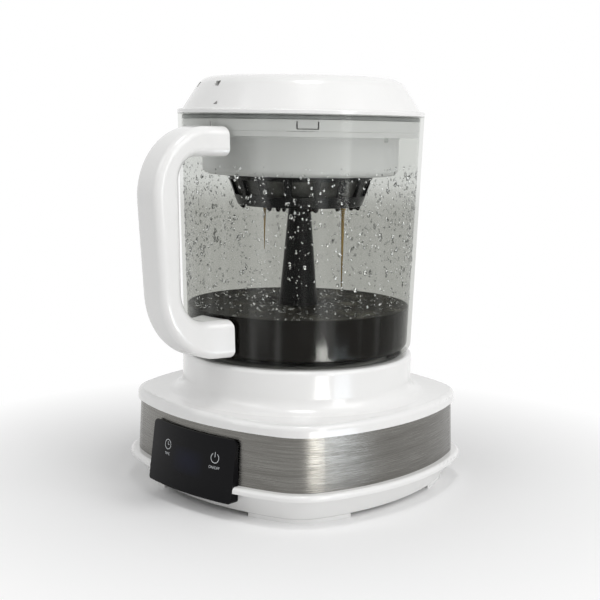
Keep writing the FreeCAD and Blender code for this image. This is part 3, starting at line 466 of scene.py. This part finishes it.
FINISHES = {
    "white_gloss": moulded("white_gloss", (0.86, 0.858, 0.85), 0.2, Coat_Weight=0.35,
                           Coat_Roughness=0.06),
    "white_satin": moulded("white_satin", (0.9, 0.9, 0.905), 0.38),
    "clear_plastic": clear_plastic(),
    "brushed_steel": brushed_steel(),
    "black_gloss": panel_black(),
    "black_plastic": moulded("black_plastic", (0.011, 0.011, 0.012), 0.3, 0.0008,
                             0.00003, 0.3, Specular_IOR_Level=0.18),
    "circuit_board": circuit_board(),
    "motor_steel": plated("motor_steel", (0.55, 0.55, 0.54), 0.32, 0.003),
    "screw_steel": plated("screw_steel", (0.66, 0.65, 0.63), 0.28, 0.001),
    "magnet": plated("magnet_nickel", (0.62, 0.61, 0.58), 0.22, 0.0015),
    "filter_mesh": filter_mesh(),
    "seal_rubber": moulded("seal_rubber", (0.36, 0.37, 0.37), 0.6, 0.0006, 0.00003, 0.1),
}
WATER = water()
COFFEE = coffee()
FOAM = foam()
AMBER = amber_coffee()
PANEL_INK = printed("panel_ink", (0.62, 0.64, 0.66))
MARK_INK = printed("mark_ink", (0.30, 0.30, 0.29))


def finish_nodes():
    for part in frame["record"]["subparts"]:
        mesh = nodes[part["node"]].data
        mesh.materials.clear()
        mesh.materials.append(FINISHES[part["material_slot"]])


# Making and placing new pieces

ROUND_STEPS = 96
WELD = 1e-7
IN_FRONT = -0.2


def surface_of(node):
    """The node's surface, to measure from and to lay things on."""
    mesh = nodes[node].data
    return BVHTree.FromPolygons([v.co for v in mesh.vertices],
                                [p.vertices[:] for p in mesh.polygons])


def front_of(surface, x, z):
    """The first point of a surface that is met from the front, at x and z."""
    return surface.ray_cast(Vector((x, IN_FRONT, z)), Vector((0, 1, 0)))[0]


def keep(bm, name, material, body, smooth=True):
    mesh = bpy.data.meshes.new(name)
    bm.to_mesh(mesh)
    bm.free()
    mesh.materials.append(material)
    for face in mesh.polygons:
        face.use_smooth = smooth
    piece = add_to_scene(name, mesh)
    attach(piece, body)
    return piece


def spun(profile):
    """A closed round form from its half section, given as (radius, height) points."""
    bm = bmesh.new()
    corners = [bm.verts.new((radius, 0.0, height)) for radius, height in profile]
    edges = [bm.edges.new(pair) for pair in zip(corners, corners[1:])]
    bmesh.ops.spin(bm, geom=corners + edges, axis=(0, 0, 1), cent=(0, 0, 0),
                   angle=math.tau, steps=ROUND_STEPS, use_merge=True)
    bmesh.ops.remove_doubles(bm, verts=bm.verts[:], dist=WELD)
    bmesh.ops.recalc_face_normals(bm, faces=bm.faces[:])
    return bm


# The coffee in the jug

JUG_WALL = surface_of("jug_body")
COFFEE_LEVEL = 115.0 * MM
CLEARANCE = 0.1 * MM
BESIDE_RISER = 45.0 * MM
FLOOR_CORNER = 1.2 * MM
CORNER_RISES = (0.4, 1.2, 2.4, 4.0, 6.0, 9.0)
CLIMB = 0.5 * MM
CLIMB_WIDTH = 1.6 * MM
FROTH_HOLE = 12.4 * MM
FROTH_THICKNESS = 0.3 * MM
FROTH_GAP = 0.6 * MM


def inner_wall(height):
    """The radius of the jug's inner wall at a height, at the back, away from the handle."""
    outwards = towards(math.pi)
    hit = JUG_WALL.ray_cast(outwards * 0.03 + Vector((0, 0, height)), outwards)[0]
    return math.hypot(hit.x, hit.y)


def jug_floor():
    start = Vector((BESIDE_RISER, 0.0, COFFEE_LEVEL))
    return JUG_WALL.ray_cast(start, Vector((0, 0, -1)))[0].z


def add_coffee():
    floor = jug_floor() + CLEARANCE
    heights = [floor + rise * MM for rise in CORNER_RISES]
    heights += [COFFEE_LEVEL - 6 * MM, COFFEE_LEVEL]
    side = [(inner_wall(height) - CLEARANCE, height) for height in heights]
    corner = side[0][0] - FLOOR_CORNER
    rim = side[-1][0]
    climb = (rim, COFFEE_LEVEL + CLIMB)
    dip = (rim - CLIMB_WIDTH, COFFEE_LEVEL)
    keep(spun([(0.0, floor), (corner, floor), *side, climb, dip, (0.0, COFFEE_LEVEL)]),
         "coffee", COFFEE, "jug")
    top = COFFEE_LEVEL + 0.05 * MM
    under = top - FROTH_THICKNESS
    froth = spun([(FROTH_HOLE, under), (FROTH_HOLE, top), (rim * 0.5, top + 0.12 * MM),
                  (rim - CLIMB_WIDTH, top), (rim - FROTH_GAP, top + 0.3 * MM),
                  (rim - FROTH_GAP, under), (FROTH_HOLE, under)])
    keep(froth, "coffee_froth", FOAM, "jug")


# Drops, bubbles and drips

class Drops:
    """Many small copies of one rounded bead, gathered into a single mesh."""

    def __init__(self, segments=8, rings=5):
        draft = bmesh.new()
        bmesh.ops.create_uvsphere(draft, u_segments=segments, v_segments=rings, radius=1.0)
        self.bead = bpy.data.meshes.new("bead")
        draft.to_mesh(self.bead)
        draft.free()
        self.bm = bmesh.new()

    def add(self, spot, facing, size, flat=1.0, tall=1.0):
        """A bead at a spot, flattened towards what it sits on and drawn out upright."""
        sideways = facing.cross(UP)
        if sideways.length < 1e-6:
            sideways = Vector((1, 0, 0))
        sideways.normalize()
        above = facing.cross(sideways).normalized()
        turn = Matrix((sideways * size, above * size * tall, facing * size * flat))
        turn = turn.transposed().to_4x4()
        if turn.determinant() < 0:
            turn = turn @ Matrix.Scale(-1, 4, (1, 0, 0))
        copy = self.bead.copy()
        copy.transform(Matrix.Translation(spot) @ turn)
        self.bm.from_mesh(copy)
        bpy.data.meshes.remove(copy)

    def gather(self, name, material, body):
        bpy.data.meshes.remove(self.bead)
        return keep(self.bm, name, material, body)


# Each row: name, count, radii in mm, height against width, lowest and highest place

WALL_DROPS = (
    ("wall_drops_small", 1700, (0.35, 0.85), (1.0, 1.5), 0.119, 0.205),
    ("wall_drops_large", 300, (0.9, 1.6), (1.0, 1.4), 0.125, 0.200),
    ("wall_runs", 26, (0.5, 0.9), (3.0, 7.0), 0.130, 0.195),
)
DROP_SUNK = 0.12
DROP_FLATNESS = 0.5


def add_wall_drops(name, count, sizes, tall, low, high):
    """Condensation on the inside of the jug."""
    drops = Drops()
    base, top = inner_wall(low), inner_wall(high)
    for _ in range(count):
        azimuth = draws.uniform(0.0, math.tau)
        share = draws.random() ** 0.85
        height = low + (high - low) * share
        radius = base + (top - base) * share
        outwards = towards(azimuth)
        size = draws.uniform(*sizes) * MM * draws.uniform(0.6, 1.0)
        spot = outwards * (radius - size * DROP_SUNK) + Vector((0, 0, height))
        drops.add(spot, -outwards, size, DROP_FLATNESS, draws.uniform(*tall))
    drops.gather(name, WATER, "jug")


BUBBLES = 420
BUBBLE_SIZES = (0.5, 1.6)
BUBBLE_FLATNESS = 0.7
RISER_REACH = 14 * MM


def add_bubbles():
    """Bubbles on the coffee, from the riser to the wall."""
    drops = Drops()
    rim = inner_wall(COFFEE_LEVEL) - 2.5 * MM
    for _ in range(BUBBLES):
        azimuth = draws.uniform(0.0, math.tau)
        radius = RISER_REACH + (rim - RISER_REACH) * draws.random() ** 0.8
        size = draws.uniform(*BUBBLE_SIZES) * MM * draws.uniform(0.5, 1.0)
        spot = place_at(radius, azimuth, COFFEE_LEVEL + 0.1 * MM)
        drops.add(spot, UP, size, BUBBLE_FLATNESS)
    drops.gather("coffee_bubbles", WATER, "jug")


# Each thread of coffee in mm: x, y, length and its radius at the top

THREADS = ((36.1, 0.9, 50.0, 1.15), (4.0, -35.8, 26.0, 0.8))
EDGE_DRIPS = 34
EDGE_RADII = (34.0, 38.6)
EDGE_SIZES = (0.9, 1.9)


def add_drips():
    """Coffee that runs out of the basket: two threads and the drops on its edge."""
    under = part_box("basket_frame")[0].z
    threads = bmesh.new()
    for x, y, length, radius in THREADS:
        thread = bmesh.ops.create_cone(threads, cap_ends=True, cap_tris=True, segments=12,
                                       radius1=radius * 0.25 * MM, radius2=radius * MM,
                                       depth=length * MM)["verts"]
        middle = Vector((x * MM, y * MM, under - length * MM / 2 + 0.2 * MM))
        bmesh.ops.translate(threads, verts=thread, vec=middle)
        bead = bmesh.ops.create_uvsphere(threads, u_segments=12, v_segments=8,
                                         radius=radius * 1.5 * MM)["verts"]
        bmesh.ops.scale(threads, verts=bead, vec=(1.0, 1.0, 1.7))
        bmesh.ops.translate(threads, verts=bead, vec=(x * MM, y * MM, under))
    keep(threads, "coffee_threads", AMBER, "basket")
    beads = Drops(10, 7)
    for _ in range(EDGE_DRIPS):
        azimuth = draws.uniform(0.0, math.tau)
        radius = draws.uniform(*EDGE_RADII) * MM
        size = draws.uniform(*EDGE_SIZES) * MM
        spot = place_at(radius, azimuth, under - size * 0.3)
        beads.add(spot, UP, size, draws.uniform(1.0, 1.5))
    beads.gather("basket_drips", COFFEE, "basket")


# Printing on the touch panel

PANEL = surface_of("panel_cover")
CLOCK_X, POWER_X = -19.0 * MM, 22.6 * MM
ICON_Z = 35.0 * MM
ICON_RADIUS = 2.9 * MM
POWER_GAP = 70.0
CAPTION_Z = 28.6 * MM
CAPTION_SIZE = 2.3 * MM
STROKE = 0.42 * MM
INK_LIFT = 0.05 * MM
ARC_STEPS = 40


def lay_on_panel(bm):
    """Moves flat artwork, drawn in X and Z, onto the panel's curved face."""
    for vert in bm.verts:
        vert.co.y = front_of(PANEL, vert.co.x, vert.co.z).y - INK_LIFT


def ring_arc(bm, x, z, gap_degrees=0.0):
    """A circle of an icon, or one that is open at its top, as a flat band."""
    inner, outer = ICON_RADIUS - STROKE / 2, ICON_RADIUS + STROKE / 2
    start = math.radians(90 + gap_degrees / 2)
    ends = [bm.verts.new((x + r * math.cos(start), 0.0, z + r * math.sin(start)))
            for r in (inner, outer)]
    edge = bm.edges.new(ends)
    bmesh.ops.spin(bm, geom=[*ends, edge], axis=(0, -1, 0), cent=(x, 0.0, z),
                   angle=math.radians(360 - gap_degrees), steps=ARC_STEPS,
                   use_merge=gap_degrees == 0)


def bar(bm, start, end):
    """A straight stroke between two points of the icon."""
    (x0, z0), (x1, z1) = start, end
    length = math.hypot(x1 - x0, z1 - z0)
    made = bmesh.ops.create_grid(bm, x_segments=4, y_segments=1, size=0.5)["verts"]
    along = Vector((x1 - x0, 0, z1 - z0)) / length
    across = Vector((-along.z, 0, along.x))
    turn = Matrix((along * length, across * STROKE, along.cross(across)))
    spot = Vector(((x0 + x1) / 2, 0.0, (z0 + z1) / 2))
    bmesh.ops.transform(bm, matrix=Matrix.Translation(spot) @ turn.transposed().to_4x4(),
                        verts=made)


def caption(words, x):
    """Words under an icon, as a flat mesh in X and Z."""
    letters = bpy.data.curves.new(words, "FONT")
    letters.body = words
    letters.size = CAPTION_SIZE
    letters.align_x = "CENTER"
    draft = bpy.data.objects.new("draft", letters)
    mesh = bpy.data.meshes.new_from_object(draft)
    bpy.data.objects.remove(draft)
    bm = bmesh.new()
    bm.from_mesh(mesh)
    bpy.data.meshes.remove(mesh)
    for vert in bm.verts:
        vert.co = (vert.co.x + x, 0.0, vert.co.y + CAPTION_Z)
    return bm


def face_front(bm):
    bmesh.ops.recalc_face_normals(bm, faces=bm.faces[:])
    wrong = [face for face in bm.faces if face.normal.y > 0]
    bmesh.ops.reverse_faces(bm, faces=wrong)


def add_panel_printing():
    clock = bmesh.new()
    ring_arc(clock, CLOCK_X, ICON_Z)
    bar(clock, (CLOCK_X, ICON_Z), (CLOCK_X, ICON_Z + ICON_RADIUS * 0.62))
    bar(clock, (CLOCK_X, ICON_Z), (CLOCK_X + ICON_RADIUS * 0.5, ICON_Z))
    power = bmesh.new()
    ring_arc(power, POWER_X, ICON_Z, POWER_GAP)
    bar(power, (POWER_X, ICON_Z + ICON_RADIUS * 0.15),
        (POWER_X, ICON_Z + ICON_RADIUS * 1.2))
    for name, art in (("clock_icon", clock), ("power_icon", power),
                      ("time_caption", caption("TIME", CLOCK_X)),
                      ("power_caption", caption("ON/OFF", POWER_X))):
        lay_on_panel(art)
        face_front(art)
        keep(art, name, PANEL_INK, "base", smooth=False)


# The marks that show how the lid goes on

RIM_MARK_SIZE = (0.9 * MM, 0.25 * MM, 4.2 * MM)
RIM_MARK_DROP = 7 * MM
MARK_ROUNDING = 0.08 * MM
ARROW_FOOT, ARROW_TOP = 1.9 * MM, 1.6 * MM
ARROW_THICKNESS = 0.3 * MM
ARROW_RISE = 5.2 * MM


def add_marks():
    """A line on the jug's rim and an arrow on the lid's edge, over the handle."""
    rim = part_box("jug_body")[1].z
    wall = front_of(JUG_WALL, 0, rim - RIM_MARK_DROP)
    line = bmesh.new()
    made = bmesh.ops.create_cube(line, size=1.0)["verts"]
    bmesh.ops.scale(line, verts=made, vec=RIM_MARK_SIZE)
    bmesh.ops.translate(line, verts=made, vec=wall)
    bmesh.ops.bevel(line, geom=line.edges[:], offset=MARK_ROUNDING, segments=2,
                    affect="EDGES", profile=0.5, material=-1)
    keep(line, "rim_mark", MARK_INK, "jug")
    spot = front_of(surface_of("lid_cover"), 0, rim + ARROW_RISE)
    arrow = bmesh.new()
    made = bmesh.ops.create_cone(arrow, cap_ends=True, segments=3, radius1=ARROW_FOOT,
                                 radius2=ARROW_TOP, depth=ARROW_THICKNESS)["verts"]
    for axis, angle in (("X", -math.pi / 2), ("Y", math.pi / 2)):
        bmesh.ops.rotate(arrow, verts=made, matrix=Matrix.Rotation(angle, 3, axis))
    bmesh.ops.translate(arrow, verts=made, vec=spot)
    keep(arrow, "lid_mark", MARK_INK, "lid", smooth=False)


# Floor and world: what the eye, metal and clear parts see is white

SHOWN_RAYS = ("Camera", "Glossy", "Transmission")
FLOOR_GREY = (0.92, 0.92, 0.92)
SHADOW_REACH = 0.12
FADE_RATE = 5.5
AMBIENT = 0.44
SHEET = 1.0


def floor_material():
    """A pale floor that holds the soft shadow and fades to white further out."""
    finish = Finish("pale_floor", FLOOR_GREY, 0.9, Specular_IOR_Level=0.0)
    x, y, _ = finish.axes()
    distance = (x * x + y * y) ** 0.5
    fade = ((distance - SHADOW_REACH) * FADE_RATE).held()
    shown = sum(finish.ray(kind) for kind in SHOWN_RAYS)
    white = finish.node("ShaderNodeEmission")
    finish.surface(finish.mix(fade * shown, finish.gloss, white))
    return finish.material


def add_floor():
    bm = bmesh.new()
    bmesh.ops.create_grid(bm, x_segments=8, y_segments=8, size=3.0)
    mesh = bpy.data.meshes.new("floor")
    bm.to_mesh(mesh)
    bm.free()
    mesh.materials.append(floor_material())
    add_to_scene("floor", mesh)


def light_world():
    """Even studio light before a white sheet, which the eye, metal and glass see."""
    world = bpy.data.worlds.new("studio")
    world.use_nodes = True
    bpy.context.scene.world = world
    world.node_tree.nodes.clear()
    room = Shading(world.node_tree)
    light, sheet = [room.node("ShaderNodeBackground", {},
                              {"Color": (1.0, 1.0, 1.0, 1.0), "Strength": strength})
                    for strength in (AMBIENT, SHEET)]
    for kind in SHOWN_RAYS:
        light = room.mix(room.ray(kind), light, sheet)
    room.node("ShaderNodeOutputWorld", {}, {"Surface": light}, output=None)


# Softboxes: name, azimuth, elevation, distance, width, height and watts

SOFTBOXES = (
    ("key_right", 98, 38, 1.5, 0.9, 0.9, 5.6),
    ("top", 60, 76, 1.3, 0.32, 0.32, 3.0),
    ("strip_right", 84, 9, 1.3, 0.24, 0.8, 3.0),
    ("fill_left", -12, 42, 1.5, 0.8, 0.8, 3.0),
)
AIM = Vector((0, 0, 0.12))

# Strips on the table, which metal alone mirrors: name, azimuth, width, colour and watts

TABLE_STRIPS = (
    ("strip_warm", 65, 0.08, (1.0, 0.99, 0.95), 0.50),
    ("strip_blue", 84, 0.10, (0.82, 0.90, 1.0), 0.30),
)
STRIP_REACH = 0.32
STRIP_LENGTH = 0.26
STRIP_LIFT = 0.004


def area_lamp(name, width, height, power):
    lamp = bpy.data.lights.new(name, "AREA")
    lamp.shape = "RECTANGLE"
    lamp.size = width
    lamp.size_y = height
    lamp.energy = power
    return add_to_scene(name, lamp)


def softbox(name, azimuth, elevation, distance, width, height, power):
    turn, rise = math.radians(azimuth), math.radians(elevation)
    spot = Vector((math.sin(turn) * math.cos(rise), -math.cos(turn) * math.cos(rise),
                   math.sin(rise))) * distance + AIM
    facing = (AIM - spot).to_track_quat("-Z", "Y")
    lamp = area_lamp(name, width, height, power)
    lamp.matrix_world = Matrix.Translation(spot) @ facing.to_matrix().to_4x4()


def table_strip(name, azimuth, width, colour, power):
    lamp = area_lamp(name, width, STRIP_LENGTH, power)
    lamp.data.color = colour
    lamp.matrix_world = (Matrix.Rotation(math.radians(azimuth), 4, "Z")
                         @ Matrix.Translation((0.0, -STRIP_REACH, STRIP_LIFT))
                         @ Matrix.Rotation(math.pi, 4, "X"))
    lamp.visible_camera = False
    lamp.visible_diffuse = False
    lamp.visible_transmission = False


place_camera()
finish_nodes()
add_coffee()
for drops in WALL_DROPS:
    add_wall_drops(*drops)
add_bubbles()
add_drips()
add_panel_printing()
add_marks()
add_floor()
light_world()
for box in SOFTBOXES:
    softbox(*box)
for strip in TABLE_STRIPS:
    table_strip(*strip)
bpy.context.scene.view_settings.view_transform = "Standard"
